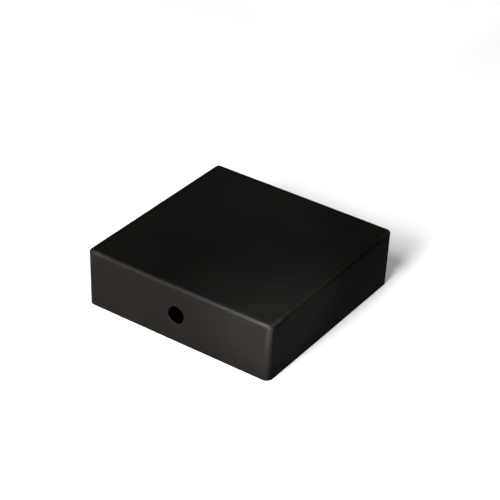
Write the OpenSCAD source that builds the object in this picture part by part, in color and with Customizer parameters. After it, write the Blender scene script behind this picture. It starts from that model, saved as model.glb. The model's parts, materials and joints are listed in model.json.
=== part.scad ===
// Flat square cap for the top of a wooden fence post.
// Five steel plates meet at their outside corners. Welds fill the corners and are ground round,
// and each weld leaves a narrow root bead on the inside.
// The origin is the centre of the open rim, +Z points up through the top plate, and the walls
// with the screw holes face -Y and +Y.

/* [Post] */
// Width of the square post that the cap fits
post_w = 70; // [60:1:100]
// Gap between the post and each wall
post_gap = 0.5; // [0.5:0.1:1.5]

/* [Plates] */
// Height of the whole cap
cap_h = 22; // [20:0.5:30]
// Thickness of the top plate and of the four walls
plate_t = 2; // [1.5:0.1:2.5]

/* [Welds] */
// Outside radius along the top edges
edge_r = 1.1; // [0.5:0.1:1.5]
// Inside radius of the corners, and the width of the root beads, which stay clear of the post
root_r = 0.5; // [0.3:0.1:0.5]

/* [Screw holes] */
// Diameter of the screw holes
hole_d = 6.4; // [4:0.1:8]
// Height of the screw holes above the rim
hole_z = 10.7; // [6:0.1:13]

/* [Hidden] */

// Colours of the coated plates and welds
plate_colour = [0.13, 0.125, 0.12];
weld_colour = [0.19, 0.185, 0.18];

// Inside width of the cap
socket_w = post_w + 2 * post_gap;
// Height of the top plate's underside, which rests on the post
seat_z = cap_h - plate_t;
// Height where the walls end and the top welds begin
weld_z = seat_z - root_r;
// Distance of the corner axes from the middle planes: the plates end in line with them
corner_axis = socket_w / 2 - root_r;
// Outside radius of the vertical corners
corner_r = plate_t + root_r;

// How far a cutter passes the face that it cuts
past = 1;
// Segments of a full circle
$fn = 96;

// Square plate whose underside is as wide as the post and rests on it.
module top_plate() {
    color(plate_colour)
        translate([-corner_axis, -corner_axis, seat_z])
            cube([2 * corner_axis, 2 * corner_axis, plate_t]);
}

// One wall, standing in front of the socket and facing -Y.
module wall() {
    translate([-corner_axis, -socket_w / 2 - plate_t, 0])
        cube([2 * corner_axis, plate_t, weld_z]);
}

// The same wall with a screw hole through its middle.
module drilled_wall() {
    difference() {
        wall();
        translate([0, -socket_w / 2 + past, hole_z])
            rotate([90, 0, 0])
                cylinder(d = hole_d, h = plate_t + 2 * past);
    }
}

module skirt_front() {
    color(plate_colour)
        drilled_wall();
}

module skirt_right() {
    color(plate_colour)
        rotate([0, 0, 90])
            wall();
}

module skirt_rear() {
    color(plate_colour)
        rotate([0, 0, 180])
            drilled_wall();
}

module skirt_left() {
    color(plate_colour)
        rotate([0, 0, 270])
            wall();
}

// Cross-section of a weld from the height bottom_z up. X is measured outwards from the corner
// axis and Y is the height. The outer top corner is round, and the root bead is a small
// triangle below the top plate.
module weld_section(bottom_z) {
    difference() {
        union() {
            translate([0, seat_z])
                square([corner_r, plate_t]);
            translate([root_r, bottom_z])
                square([plate_t, seat_z - bottom_z]);
            translate([0, weld_z])
                polygon([[root_r, 0], [root_r, root_r], [0, root_r]]);
        }
        translate([corner_r - edge_r, cap_h - edge_r])
            difference() {
                square(edge_r + past);
                circle(edge_r);
            }
    }
}

// Weld along the top edge of the wall that faces the given direction, in degrees from -Y.
module top_weld(turn) {
    color(weld_colour)
        rotate([0, 0, turn])
            translate([-corner_axis, -corner_axis, 0])
                rotate([90, 0, 90])
                    mirror([1, 0, 0])
                        linear_extrude(2 * corner_axis)
                            weld_section(weld_z);
}

// Weld down the vertical corner that follows the wall facing the given direction.
module corner_weld(turn) {
    color(weld_colour)
        rotate([0, 0, turn])
            translate([corner_axis, -corner_axis, 0])
                rotate([0, 0, -90])
                    rotate_extrude(angle = 90)
                        weld_section(0);
}

module top_weld_front() {
    top_weld(0);
}

module top_weld_right() {
    top_weld(90);
}

module top_weld_rear() {
    top_weld(180);
}

module top_weld_left() {
    top_weld(270);
}

module corner_weld_front_right() {
    corner_weld(0);
}

module corner_weld_rear_right() {
    corner_weld(90);
}

module corner_weld_rear_left() {
    corner_weld(180);
}

module corner_weld_front_left() {
    corner_weld(270);
}

top_plate();
skirt_front();
skirt_right();
skirt_rear();
skirt_left();
top_weld_front();
top_weld_right();
top_weld_rear();
top_weld_left();
corner_weld_front_right();
corner_weld_rear_right();
corner_weld_rear_left();
corner_weld_front_left();
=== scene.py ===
"""Looks of the fence post cap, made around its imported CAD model. Lengths are in metres.

Each CAD node is replaced by a finer mesh of the same piece: coated walls with softened rims and
hole mouths, and welds that are ground smooth outside and left rippled inside.
"""

import json
import math

import bmesh
import bpy
from mathutils import Matrix, Vector


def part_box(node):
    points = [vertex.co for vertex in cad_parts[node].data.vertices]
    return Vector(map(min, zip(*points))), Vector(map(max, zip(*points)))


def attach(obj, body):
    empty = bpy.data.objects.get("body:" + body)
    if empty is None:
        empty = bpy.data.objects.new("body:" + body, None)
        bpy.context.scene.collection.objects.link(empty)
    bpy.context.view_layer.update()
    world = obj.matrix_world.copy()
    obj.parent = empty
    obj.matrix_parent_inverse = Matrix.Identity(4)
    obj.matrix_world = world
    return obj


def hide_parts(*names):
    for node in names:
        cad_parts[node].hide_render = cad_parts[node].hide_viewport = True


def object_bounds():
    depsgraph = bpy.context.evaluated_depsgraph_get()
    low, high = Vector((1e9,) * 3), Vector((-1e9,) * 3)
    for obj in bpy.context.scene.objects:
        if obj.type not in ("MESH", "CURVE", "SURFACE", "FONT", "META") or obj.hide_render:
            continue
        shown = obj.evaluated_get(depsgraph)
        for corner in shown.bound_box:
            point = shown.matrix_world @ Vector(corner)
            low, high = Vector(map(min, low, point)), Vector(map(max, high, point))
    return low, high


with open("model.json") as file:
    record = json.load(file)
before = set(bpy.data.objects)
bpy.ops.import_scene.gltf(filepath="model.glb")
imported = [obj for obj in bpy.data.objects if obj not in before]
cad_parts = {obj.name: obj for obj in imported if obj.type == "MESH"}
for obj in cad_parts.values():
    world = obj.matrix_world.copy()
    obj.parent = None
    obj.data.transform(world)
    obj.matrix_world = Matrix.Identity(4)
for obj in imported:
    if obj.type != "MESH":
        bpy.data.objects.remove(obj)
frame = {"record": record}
cad_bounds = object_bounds()

MM = 0.001

# ---------------------------------------------------------------- sizes taken from the CAD model

HALF_WIDTH = cad_bounds[1].x
CAP_HEIGHT = cad_bounds[1].z
PLATE_LOW, PLATE_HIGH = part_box("top_plate")
WALL_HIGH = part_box("skirt_front")[1]

SEAT_HEIGHT = PLATE_LOW.z
THICKNESS = PLATE_HIGH.z - PLATE_LOW.z
CORNER_AXIS = WALL_HIGH.x
WALL_TOP = WALL_HIGH.z
ROOT = SEAT_HEIGHT - WALL_TOP
CORNER_REACH = HALF_WIDTH - CORNER_AXIS

MOUNTS = {mount["name"]: mount for mount in frame["record"]["mounts"]}
HOLE_RADIUS = MOUNTS["screw_hole_front"]["dims"]["r_mm"] * MM
HOLE_HEIGHT = MOUNTS["screw_hole_front"]["pos_m"][2]

# ---------------------------------------------------------------- finer shapes, made here

TOP_EDGE_RADIUS = 1.25 * MM
CORNER_RADIUS_AT_RIM = 2.45 * MM
CORNER_RADIUS_AT_TOP = 1.6 * MM
RIM_RADIUS = 0.3 * MM
MOUTH_RADIUS = 0.22 * MM
PLATE_DISH = 0.06 * MM

# Painted highlight on the rounded edges: how far from a top corner it reaches, and its faintest share
# elsewhere
HIGHLIGHT_REACH = 12 * MM
LEAST_HIGHLIGHT = 0.05

BEAD_RIPPLE_PITCH = 1.1 * MM
BEAD_RIPPLE_DEPTH = 0.1 * MM
# Height of the top bead under its ripples, as a share of their depth
TOP_BEAD_BASE = 0.4
TOP_BEAD_FADE = 2 * MM
CORNER_BEAD_BULGE = 0.28 * MM
CORNER_BEAD_FADE = 1.5 * MM
# A corner weld ends this far from its axis, so that its mesh has no pinched points there
CORNER_WELD_TIP = 0.02 * MM

ARC_STEPS = 8
CORNER_STEPS = 20
HOLE_STEPS = 96
RIPPLE_STEP = 0.22 * MM
CORNER_BLEND_STEPS = 12
PLATE_RINGS = 10
WALL_RING_SHARES = (0.1, 0.4)
SHARP_ANGLE = math.radians(35)
STRONGEST_FACE_WEIGHT = 100
NEARLY_ZERO = 1e-9


def arc(steps=ARC_STEPS):
    """Pairs (1 - cos, 1 - sin) over a quarter turn, which run from (0, 1) to (1, 0)."""
    turns = [math.pi / 2 * i / steps for i in range(steps + 1)]
    return [(1 - math.cos(a), 1 - math.sin(a)) for a in turns]


def spaced(low, high, step):
    """Values from low to high, evenly spaced and no further apart than step."""
    count = max(1, math.ceil((high - low) / step))
    return [low + (high - low) * i / count for i in range(count + 1)]


def smooth_step(value):
    """0 below 0, 1 above 1, and a smooth rise in between."""
    value = min(1.0, max(0.0, value))
    return value * value * (3 - 2 * value)


def ripple(distance, phase):
    """Height of a weld bead's scallops along the bead, from 0 to 1, a little uneven."""
    turn = 2 * math.pi * distance / BEAD_RIPPLE_PITCH
    uneven = 1.3 * math.sin(turn * 0.171 + phase) + 0.6 * math.sin(turn * 0.377 + 2 * phase)
    return abs(math.cos(turn / 2 + uneven))


def edge_highlight_share(point):
    """How strong the painted edge highlight is, a lighter coat standing in for shine: none on flat faces,
    most on the edges near a top corner.
    """
    from_corner = (Vector(map(abs, point)) - Vector((HALF_WIDTH, HALF_WIDTH, CAP_HEIGHT))).length
    # Painted highlight: strongest at the top corners, fading out along the edges
    near_corner_highlight = LEAST_HIGHLIGHT + (1 - LEAST_HIGHLIGHT) * (1 - smooth_step(from_corner / HIGHLIGHT_REACH))
    wide, narrow = sorted((abs(point.x), abs(point.y)), reverse=True)
    from_hole = math.hypot(point.x, point.z - HOLE_HEIGHT) - HOLE_RADIUS
    near_face = wide - (HALF_WIDTH - MOUTH_RADIUS)
    pairs = [
        ((point.z - CAP_HEIGHT) / TOP_EDGE_RADIUS + 1, (wide - HALF_WIDTH) / TOP_EDGE_RADIUS + 1),
        ((wide - CORNER_AXIS) / CORNER_REACH, (narrow - CORNER_AXIS) / CORNER_REACH),
        (1 - point.z / RIM_RADIUS, (wide - HALF_WIDTH) / RIM_RADIUS + 1),
    ]
    if abs(point.y) > abs(point.x):
        pairs.append((1 - from_hole / MOUTH_RADIUS, near_face / MOUTH_RADIUS))
    middle_of_arc = math.sin(math.pi / 4) * math.cos(math.pi / 4)
    shares = [min(a, 1.0) * min(b, 1.0) for a, b in pairs if a > 0 and b > 0]
    return near_corner_highlight * min(1.0, max(shares, default=0.0) / middle_of_arc)


# ---------------------------------------------------------------- mesh building

def loft(loops, closed=False):
    """Vertices and faces of a skin over loops of equal length, capped at both ends unless closed."""
    size = len(loops[0])
    points = [Vector(p) for loop in loops for p in loop]
    count = len(loops) if closed else len(loops) - 1
    faces = []
    for i in range(count):
        here = i * size
        there = ((i + 1) % len(loops)) * size
        for k in range(size):
            after = (k + 1) % size
            faces.append((here + k, here + after, there + after, there + k))
    if not closed:
        faces.append(tuple(range(size)))
        faces.append(tuple(range(len(points) - size, len(points))))
    return points, faces


def add_piece(node, skin, quarter_turns, material):
    """Makes a piece of a skin built for the front, turned to its own side, in place of the node."""
    points, faces = skin
    turn = Matrix.Rotation(quarter_turns * math.pi / 2, 3, "Z")
    mesh = bpy.data.meshes.new("coated_" + node)
    mesh.from_pydata([turn @ p for p in points], [], faces)
    shape = bmesh.new()
    shape.from_mesh(mesh)
    bmesh.ops.recalc_face_normals(shape, faces=shape.faces)
    shape.to_mesh(mesh)
    shape.free()
    mesh.shade_smooth()
    mesh.set_sharp_from_angle(angle=SHARP_ANGLE)
    # The edge attribute holds how strong the painted edge highlight is at each point
    edge = mesh.attributes.new("edge", "FLOAT", "POINT")
    edge.data.foreach_set("value", [edge_highlight_share(v.co) for v in mesh.vertices])
    mesh.materials.append(material)
    piece = bpy.data.objects.new("coated_" + node, mesh)
    bpy.context.scene.collection.objects.link(piece)
    weighted = piece.modifiers.new("weighted_normals", "WEIGHTED_NORMAL")
    weighted.keep_sharp = True
    weighted.weight = STRONGEST_FACE_WEIGHT
    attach(piece, "root")
    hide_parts(node)


# ---------------------------------------------------------------- the pieces, built for the front

def top_plate_skin():
    """The square top, which the heat of the welds has drawn down a little in the middle."""
    def ring(share, height, dish):
        reach = CORNER_AXIS * share
        side = [-reach + 2 * reach * i / PLATE_RINGS for i in range(PLATE_RINGS)]
        corners = [(v, -reach) for v in side] + [(reach, v) for v in side]
        corners += [(-v, reach) for v in side] + [(-reach, -v) for v in side]
        low = dish * (1 - share ** 2) ** 2
        return [(x, y, height - low) for x, y in corners]

    shares = [(i + 0.5) / (PLATE_RINGS + 0.5) for i in range(PLATE_RINGS + 1)]
    upper = [ring(share, CAP_HEIGHT, PLATE_DISH) for share in shares]
    lower = [ring(share, SEAT_HEIGHT, 0) for share in reversed(shares)]
    return loft(upper + lower)


def rim_section(front, back):
    """Points (y, z) round the foot of a wall, from its front face to its back face."""
    under_front = [(front + RIM_RADIUS * a, RIM_RADIUS * b) for a, b in arc()]
    under_back = [(back - RIM_RADIUS * a, RIM_RADIUS * b) for a, b in reversed(arc())]
    return under_front + under_back


def plain_wall_skin():
    """A wall with a rounded foot, swept from its left end to its right end."""
    front, back = -HALF_WIDTH, -HALF_WIDTH + THICKNESS
    section = [(front, WALL_TOP)] + rim_section(front, back) + [(back, WALL_TOP)]
    ends = (-CORNER_AXIS, 0, CORNER_AXIS)
    return loft([[(x, y, z) for y, z in section] for x in ends])


def drilled_wall_skin():
    """A wall with a rounded foot and a screw hole whose mouths are rounded, as rings round the hole."""
    front, back = -HALF_WIDTH, -HALF_WIDTH + THICKNESS
    corners = [(x, z) for x in (-CORNER_AXIS, CORNER_AXIS) for z in (0, WALL_TOP)]
    turns = [2 * math.pi * i / HOLE_STEPS for i in range(HOLE_STEPS)]
    for x, z in corners:
        wanted = math.atan2(z - HOLE_HEIGHT, x) % (2 * math.pi)
        nearest = min(range(HOLE_STEPS), key=lambda i: abs(turns[i] - wanted))
        turns[nearest] = wanted

    def circle(radius, y):
        return [(radius * math.cos(a), y, HOLE_HEIGHT + radius * math.sin(a)) for a in turns]

    def outline(y, foot):
        points = []
        for a in turns:
            rise = math.sin(a)
            run = math.cos(a)
            up = (WALL_TOP if rise > 0 else 0) - HOLE_HEIGHT
            to_end = CORNER_AXIS / max(abs(run), NEARLY_ZERO)
            to_edge = up / rise if abs(rise) > NEARLY_ZERO else 1
            reach = min(to_end, to_edge)
            z = HOLE_HEIGHT + reach * rise
            points.append((reach * run, y, max(z, foot)))
        return points

    def face(y, inward):
        inner = circle(HOLE_RADIUS + MOUTH_RADIUS, y)
        outer = outline(y, RIM_RADIUS)
        between = [[Vector(p).lerp(q, share) for p, q in zip(inner, map(Vector, outer))]
                   for share in WALL_RING_SHARES]
        rings = [inner] + between
        return rings[::-1] if inward else rings

    def mouth(y, into):
        return [circle(HOLE_RADIUS + MOUTH_RADIUS * a, y + into * MOUTH_RADIUS * b)
                for a, b in arc()[:-1]]

    rings = mouth(front, 1)
    rings += face(front, inward=False)
    rings += [outline(y, z) for y, z in rim_section(front, back)]
    rings += face(back, inward=True)
    rings += mouth(back, -1)[::-1]
    return loft(rings, closed=True)


def top_weld_skin(phase):
    """The weld along a top edge: round outside, with a rippled root bead inside."""
    face = -CORNER_AXIS - ROOT
    crown = [(-HALF_WIDTH + TOP_EDGE_RADIUS * a, CAP_HEIGHT - TOP_EDGE_RADIUS * b) for a, b in arc()]
    loops = []
    for x in spaced(-CORNER_AXIS, CORNER_AXIS, RIPPLE_STEP):
        fade = smooth_step((CORNER_AXIS - abs(x)) / TOP_BEAD_FADE)
        bulge = BEAD_RIPPLE_DEPTH * (TOP_BEAD_BASE + ripple(x, phase)) * fade
        bead = []
        for i in range(1, ARC_STEPS):
            share = i / ARC_STEPS
            swell = bulge * math.sin(math.pi * share)
            bead.append((-CORNER_AXIS - ROOT * share + swell, SEAT_HEIGHT - ROOT * share - swell))
        plate_side = [(-CORNER_AXIS, CAP_HEIGHT), (-CORNER_AXIS, SEAT_HEIGHT)]
        section = [(-HALF_WIDTH, WALL_TOP)] + crown + plate_side + bead + [(face, WALL_TOP)]
        loops.append([(x, y, z) for y, z in section])
    return loft(loops)


def corner_reach(turn, inset, radius):
    """Distance from the corner's axis to a rounded square corner, moved in by inset, along a ray."""
    reach = CORNER_REACH - inset
    rounding = radius - inset
    centre = reach - rounding
    across = math.cos(turn)
    along = math.sin(turn)
    if reach * min(across, along) <= centre * max(across, along):
        return reach / max(across, along)
    middle = centre * (across + along)
    return middle + math.sqrt(max(0.0, rounding ** 2 - 2 * centre ** 2 + middle ** 2))


def corner_weld_skin(phase):
    """The weld down the corner at the wall's right end: round outside, with a rippled root bead inside."""
    crown_foot = CAP_HEIGHT - TOP_EDGE_RADIUS
    heights = spaced(RIM_RADIUS, crown_foot, crown_foot / CORNER_BLEND_STEPS)

    def radius_at(height):
        share = height / CAP_HEIGHT
        return CORNER_RADIUS_AT_RIM + (CORNER_RADIUS_AT_TOP - CORNER_RADIUS_AT_RIM) * share

    def outside(turn):
        rim_radius, top_radius = radius_at(0), radius_at(CAP_HEIGHT)
        low = [(corner_reach(turn, RIM_RADIUS * a, rim_radius), RIM_RADIUS * b)
               for a, b in reversed(arc())]
        side = [(corner_reach(turn, 0, radius_at(z)), z) for z in heights[1:-1]]
        crown = [(corner_reach(turn, TOP_EDGE_RADIUS * a, top_radius), CAP_HEIGHT - TOP_EDGE_RADIUS * b)
                 for a, b in arc()]
        return low + side + crown

    def inside(turn):
        bow = math.sin(2 * turn)
        under = [(ROOT + RIM_RADIUS * a, RIM_RADIUS * b) for a, b in arc()]
        side = []
        for z in spaced(RIM_RADIUS, WALL_TOP, RIPPLE_STEP)[1:]:
            fade = smooth_step((z - RIM_RADIUS) / CORNER_BEAD_FADE)
            bulge = (CORNER_BEAD_BULGE + BEAD_RIPPLE_DEPTH * ripple(z, phase)) * bow * fade
            side.append((ROOT - bulge, z))
        return under[::-1] + side

    loops = []
    plate_side = [(CORNER_WELD_TIP, CAP_HEIGHT), (CORNER_WELD_TIP, SEAT_HEIGHT - CORNER_WELD_TIP)]
    for i in range(CORNER_STEPS + 1):
        turn = math.pi / 2 * i / CORNER_STEPS
        section = outside(turn) + plate_side + inside(turn)[::-1]
        loops.append([(CORNER_AXIS + r * math.cos(turn), -CORNER_AXIS - r * math.sin(turn), z)
                      for r, z in section])
    return loft(loops)


# ---------------------------------------------------------------- materials

def link_noise(tree, place, scale, detail, roughness=0.5):
    """A noise texture on the given coordinates, with scale in features per metre."""
    noise = tree.nodes.new("ShaderNodeTexNoise")
    noise.inputs["Scale"].default_value = scale
    noise.inputs["Detail"].default_value = detail
    noise.inputs["Roughness"].default_value = roughness
    tree.links.new(place, noise.inputs["Vector"])
    return noise.outputs["Fac"]


def link_range(tree, value, low, high, to_low, to_high):
    """Maps a value from one range to another, without going past its ends."""
    ranged = tree.nodes.new("ShaderNodeMapRange")
    ranged.inputs["From Min"].default_value = low
    ranged.inputs["From Max"].default_value = high
    ranged.inputs["To Min"].default_value = to_low
    ranged.inputs["To Max"].default_value = to_high
    tree.links.new(value, ranged.inputs["Value"])
    return ranged.outputs["Result"]


def link_math(tree, operation, first, second):
    """A math node whose inputs are sockets or plain numbers."""
    node = tree.nodes.new("ShaderNodeMath")
    node.operation = operation
    for socket, value in zip(node.inputs, (first, second)):
        if isinstance(value, (int, float)):
            socket.default_value = value
        else:
            tree.links.new(value, socket)
    return node.outputs["Value"]


def link_mix(tree, share, first, second):
    """A colour mix from first to second, which are plain colours or sockets."""
    mix = tree.nodes.new("ShaderNodeMix")
    mix.data_type = "RGBA"
    tree.links.new(share, mix.inputs["Factor"])
    colour_inputs = [socket for socket in mix.inputs if socket.type == "RGBA"]
    for socket, value in zip(colour_inputs, (first, second)):
        if isinstance(value, tuple):
            socket.default_value = (*value, 1)
        else:
            tree.links.new(value, socket)
    return next(socket for socket in mix.outputs if socket.type == "RGBA")


COAT_DARK = (0.0045, 0.0041, 0.0037)
COAT_LIGHT = (0.0058, 0.0053, 0.0048)
# Lighter coat colour that paints a highlight on the rounded edges
COAT_HIGHLIGHT = (0.0320, 0.0302, 0.0284)
COAT_IOR = 1.5
COAT_SPECULAR = 0.1

# Features per metre
CLOUD_SCALE = 60
RUB_SCALE = 420
PEEL_SCALE = 700
SPECKLE_SCALE = 2600

# The stretches of the noises that are spread over the whole of what they drive
NOISE_RANGE = (0.3, 0.7)
MOTTLE_RANGE = (0.12, 0.40)
RUB_RANGE = (0.42, 0.68)
FAINTEST_RUB = 0.15

MOST_HIGHLIGHT = 0.6
WORN_POLISH = 0.06
CLOUD_ROUGHNESS = 0.012
SPECKLE_ROUGHNESS = 0.03
SPECKLE_RELIEF = 0.35
RELIEF_DEPTH = 0.02 * MM


def powder_coat(name, roughness, grain):
    """Satin black powder coat: a fine baked grain over a slow orange peel, with a painted highlight as a
    lighter, patchy coat on the edges near the top corners.
    """
    material = bpy.data.materials.new(name)
    material.use_nodes = True
    tree = material.node_tree
    shader = tree.nodes["Principled BSDF"]
    shader.inputs["IOR"].default_value = COAT_IOR
    shader.inputs["Specular IOR Level"].default_value = COAT_SPECULAR

    place = tree.nodes.new("ShaderNodeTexCoord").outputs["Object"]
    edge = tree.nodes.new("ShaderNodeAttribute")
    edge.attribute_name = "edge"
    clouds = link_noise(tree, place, CLOUD_SCALE, detail=3)
    speckle = link_noise(tree, place, SPECKLE_SCALE, detail=2, roughness=0.6)
    rubs = link_noise(tree, place, RUB_SCALE, detail=5, roughness=0.7)
    peel = link_noise(tree, place, PEEL_SCALE, detail=1)

    mottle = link_math(tree, "MULTIPLY", clouds, speckle)
    tone = link_mix(tree, link_range(tree, mottle, *MOTTLE_RANGE, 0, 1), COAT_DARK, COAT_LIGHT)
    patches = link_range(tree, rubs, *RUB_RANGE, FAINTEST_RUB, 1)
    # Edge mask broken into rub patches: it paints the edge highlight into the colour and polishes the
    # roughness a little
    rub_and_highlight = link_math(tree, "MULTIPLY", edge.outputs["Fac"], patches)
    highlighted = link_mix(tree, link_math(tree, "MULTIPLY", rub_and_highlight, MOST_HIGHLIGHT), tone, COAT_HIGHLIGHT)
    tree.links.new(highlighted, shader.inputs["Base Color"])

    smoothest, roughest = roughness - CLOUD_ROUGHNESS, roughness + CLOUD_ROUGHNESS
    uneven = link_range(tree, clouds, *NOISE_RANGE, smoothest, roughest)
    specks = link_range(tree, speckle, *NOISE_RANGE, -SPECKLE_ROUGHNESS, SPECKLE_ROUGHNESS)
    grainy = link_math(tree, "ADD", uneven, specks)
    polished = link_math(tree, "SUBTRACT", grainy, link_math(tree, "MULTIPLY", rub_and_highlight, WORN_POLISH))
    tree.links.new(polished, shader.inputs["Roughness"])

    relief = link_math(tree, "ADD", link_math(tree, "MULTIPLY", speckle, SPECKLE_RELIEF), peel)
    bump = tree.nodes.new("ShaderNodeBump")
    bump.inputs["Strength"].default_value = grain
    bump.inputs["Distance"].default_value = RELIEF_DEPTH
    tree.links.new(relief, bump.inputs["Height"])
    tree.links.new(bump.outputs["Normal"], shader.inputs["Normal"])
    return material


PAPER_DARK = (0.88, 0.88, 0.88)
PAPER_LIGHT = (0.90, 0.90, 0.895)
PAPER_MOTTLE_SCALE = 9
PAPER_ROUGHNESS = 0.9
PAPER_SPECULAR = 0.1


def paper_floor():
    """Matt white paper with a faint mottle."""
    material = bpy.data.materials.new("paper_floor")
    material.use_nodes = True
    tree = material.node_tree
    shader = tree.nodes["Principled BSDF"]
    shader.inputs["Roughness"].default_value = PAPER_ROUGHNESS
    shader.inputs["Specular IOR Level"].default_value = PAPER_SPECULAR
    place = tree.nodes.new("ShaderNodeTexCoord").outputs["Object"]
    clouds = link_noise(tree, place, PAPER_MOTTLE_SCALE, detail=2)
    mottle = link_range(tree, clouds, *NOISE_RANGE, 0, 1)
    tree.links.new(link_mix(tree, mottle, PAPER_DARK, PAPER_LIGHT), shader.inputs["Base Color"])
    return material


# ---------------------------------------------------------------- building the cap

SIDES = ("front", "right", "rear", "left")
CORNERS = ("front_right", "rear_right", "rear_left", "front_left")

plate_coat = powder_coat("plate_coat", roughness=0.50, grain=0.25)
weld_coat = powder_coat("weld_coat", roughness=0.54, grain=0.22)

add_piece("top_plate", top_plate_skin(), 0, plate_coat)
for turn, side in enumerate(SIDES):
    wall_skin = drilled_wall_skin() if side in ("front", "rear") else plain_wall_skin()
    add_piece("skirt_" + side, wall_skin, turn, plate_coat)
    add_piece("top_weld_" + side, top_weld_skin(phase=turn), turn, weld_coat)
for turn, corner in enumerate(CORNERS):
    add_piece("corner_weld_" + corner, corner_weld_skin(phase=turn + 0.5), turn, weld_coat)

# ---------------------------------------------------------------- floor, camera and lights

FLOOR_SIZE = 6.0


def add_floor():
    """A sheet of pale paper, which neither bounces light onto the cap nor shows in its coat."""
    half = FLOOR_SIZE / 2
    mesh = bpy.data.meshes.new("floor")
    corners = [(-half, -half, 0), (half, -half, 0), (half, half, 0), (-half, half, 0)]
    mesh.from_pydata(corners, [], [(0, 1, 2, 3)])
    mesh.materials.append(paper_floor())
    floor = bpy.data.objects.new("floor", mesh)
    bpy.context.scene.collection.objects.link(floor)
    floor.visible_diffuse = False
    floor.visible_glossy = False


def from_aim(aim, azimuth, elevation, distance):
    """A point at that distance from aim. Azimuth 0 is in front of the cap, and it grows towards +X."""
    turn = math.radians(azimuth)
    rise = math.radians(elevation)
    back = Vector((math.sin(turn) * math.cos(rise), -math.cos(turn) * math.cos(rise), math.sin(rise)))
    return Vector(aim) + back * distance


def face_towards(thing, aim, roll=0.0):
    """Turns a camera or light to look at aim, then rolls it by that many degrees."""
    look = (Vector(aim) - thing.location).to_track_quat("-Z", "Y").to_matrix()
    thing.rotation_euler = (look @ Matrix.Rotation(math.radians(roll), 3, "Z")).to_euler()


CAMERA_AIM = Vector((-3.5, 10.3, 11.0)) * MM
CAMERA_AZIMUTH = 33.6
CAMERA_ELEVATION = 32.4
CAMERA_DISTANCE = 577 * MM
CAMERA_ROLL = 2.5
CAMERA_CLIP_START = 10 * MM

# In millimetres, which is Blender's own unit for both
CAMERA_LENS = 118.1
CAMERA_SENSOR = 36


def add_camera():
    data = bpy.data.cameras.new("camera")
    data.sensor_width = CAMERA_SENSOR
    data.lens = CAMERA_LENS
    data.clip_start = CAMERA_CLIP_START
    camera = bpy.data.objects.new("camera", data)
    bpy.context.scene.collection.objects.link(camera)
    camera.location = from_aim(CAMERA_AIM, CAMERA_AZIMUTH, CAMERA_ELEVATION, CAMERA_DISTANCE)
    face_towards(camera, CAMERA_AIM, CAMERA_ROLL)
    bpy.context.scene.camera = camera


SOFT_BOX_SIDE = 0.5
SOFT_BOX_DISTANCE = 1.1
WARM = (1.0, 0.94, 0.90)
NEUTRAL = (1.0, 1.0, 1.0)
COOL = (0.97, 1.0, 0.97)

# Name: azimuth, elevation, power in watts, colour
SOFT_BOXES = {
    "low_box": (0, 25, 16.0, NEUTRAL),
    "high_box": (0, 45, 11.5, COOL),
    "rear_box": (150, 25, 0.6, COOL),
}

FRONT_AIM_TO_LEFT = 20 * MM
RIGHT_AIM_TO_REAR = 15 * MM
FRONT_CORNER = Vector((HALF_WIDTH, -HALF_WIDTH, CAP_HEIGHT))
FRONT_WALL = Vector((-FRONT_AIM_TO_LEFT, -HALF_WIDTH, CAP_HEIGHT / 2))
REAR_WALL = Vector((0, HALF_WIDTH, CAP_HEIGHT / 2))
LEFT_WALL = Vector((-HALF_WIDTH, 0, CAP_HEIGHT / 2))
RIGHT_WALL = Vector((HALF_WIDTH, RIGHT_AIM_TO_REAR, CAP_HEIGHT / 2))

# Name: aim, azimuth, elevation, distance, radius of the pool, radius of the lamp, power, colour
LAMPS = {
    "front_wall_lamp": (FRONT_WALL, 0, 5, 0.8, 0.050, 0.05, 135, WARM),
    "corner_lamp": (FRONT_CORNER, 34, 6, 0.6, 0.010, 0.02, 260, NEUTRAL),
    "corner_side_lamp": (FRONT_CORNER, 0, 6, 0.6, 0.020, 0.02, 24, NEUTRAL),
    "left_edge_lamp": (FRONT_CORNER, -25, 45, 0.6, 0.032, 0.02, 40, NEUTRAL),
    "right_edge_lamp": (FRONT_CORNER, 145, 30, 0.6, 0.036, 0.02, 2, NEUTRAL),
}

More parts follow.
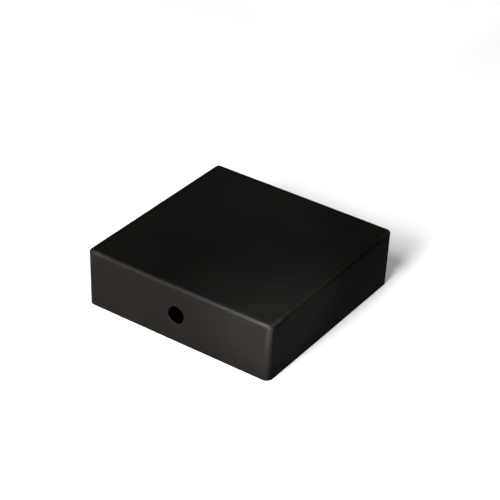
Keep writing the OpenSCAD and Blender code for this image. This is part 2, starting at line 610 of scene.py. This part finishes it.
# The same facts. These are level with the side and rear walls, and add no shine
WALL_LAMPS = {
    "rear_wall_lamp": (REAR_WALL, 205, 0, 0.8, 0.060, 0.008, 110, WARM),
    "left_wall_lamp": (LEFT_WALL, -90, 0, 0.8, 0.060, 0.008, 90, WARM),
    "right_wall_lamp": (RIGHT_WALL, 100, 0, 0.8, 0.060, 0.008, 16, WARM),
}


def add_light(name, kind, power, aim, place):
    data = bpy.data.lights.new(name, kind)
    data.energy = power
    light = bpy.data.objects.new(name, data)
    bpy.context.scene.collection.objects.link(light)
    light.location = place
    face_towards(light, aim)
    return light


def add_soft_box(name, azimuth, elevation, power, colour):
    aim = Vector((0, 0, 0))
    box = add_light(name, "AREA", power, aim, from_aim(aim, azimuth, elevation, SOFT_BOX_DISTANCE))
    box.data.color = colour
    box.data.size = SOFT_BOX_SIDE


def add_lamp(name, aim, azimuth, elevation, distance, pool, size, power, colour):
    """A lamp whose light fades out at the rim of a round pool about its aim."""
    lamp = add_light(name, "SPOT", power, aim, from_aim(aim, azimuth, elevation, distance))
    lamp.data.color = colour
    lamp.data.spot_size = 2 * math.atan(pool / distance)
    lamp.data.spot_blend = 1
    lamp.data.shadow_soft_size = size
    return lamp


WORLD_STRENGTH = 0.32
BLACK_LEVEL = 0.01


def set_world(colour, strength):
    world = bpy.data.worlds.new("studio")
    world.use_nodes = True
    background = world.node_tree.nodes["Background"]
    background.inputs["Color"].default_value = (*colour, 1)
    background.inputs["Strength"].default_value = strength
    bpy.context.scene.world = world


def set_grade(black_level):
    """A plain view transform, with the darkest tones pulled down to black."""
    view = bpy.context.scene.view_settings
    view.view_transform = "Standard"
    view.use_curve_mapping = True
    view.curve_mapping.black_level = (black_level, black_level, black_level)
    view.curve_mapping.update()


add_floor()
add_camera()
for light_name, facts in SOFT_BOXES.items():
    add_soft_box(light_name, *facts)
for light_name, facts in LAMPS.items():
    add_lamp(light_name, *facts)
for light_name, facts in WALL_LAMPS.items():
    add_lamp(light_name, *facts).visible_glossy = False
set_world(NEUTRAL, WORLD_STRENGTH)
set_grade(BLACK_LEVEL)
